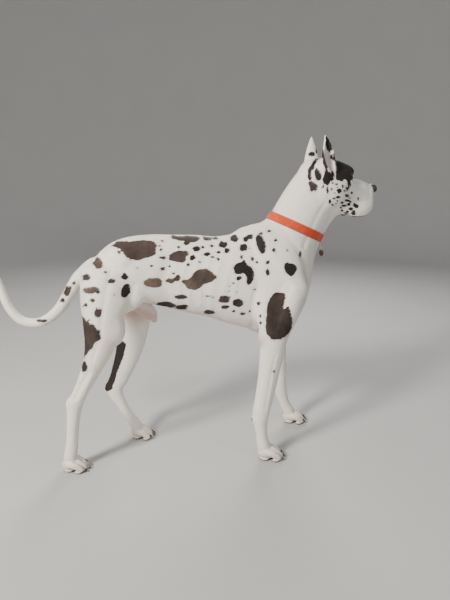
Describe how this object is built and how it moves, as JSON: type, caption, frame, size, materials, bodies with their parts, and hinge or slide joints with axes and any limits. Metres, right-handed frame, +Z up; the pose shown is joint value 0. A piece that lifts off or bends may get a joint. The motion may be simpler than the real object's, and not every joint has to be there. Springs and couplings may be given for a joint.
{
  "type": "great dane",
  "caption": "Life-size great dane with cropped upright ears and a curled-up tail, standing in profile in a harlequin coat with a plain collar.",
  "frame": {"origin": "on the floor, under the middle of the box round the whole animal", "axes": "+X towards the nose, +Y to the animal's left, +Z up"},
  "size_m": [1.3768, 0.3299, 1.1333],
  "materials": {
    "coat": "short flat fur, cream white with black and brown-black patches",
    "nose_leather": "moist pebbled leather",
    "eye": "wet gloss",
    "collar": "satin webbing",
    "steel": "worn",
    "tag": "satin enamel"
  },
  "bodies": {
    "root": {"head": "coat", "neck": "coat", "chest": "coat", "pelvis": "coat", "sheath": "coat", "tail_1": "coat", "tail_2": "coat", "tail_3": "coat", "thigh_right": "coat", "shank_right": "coat", "foreleg_right": "coat", "fore_paw_right": "coat", "hind_paw_right": "coat", "ear_right": "coat", "thigh_left": "coat", "shank_left": "coat", "foreleg_left": "coat", "fore_paw_left": "coat", "hind_paw_left": "coat", "ear_left": "coat", "nose": "nose_leather", "eye_right": "eye", "eye_left": "eye", "collar_band": "collar", "collar_ring": "steel", "tag_link": "steel", "tag": "tag"}
  },
  "joints": []
}
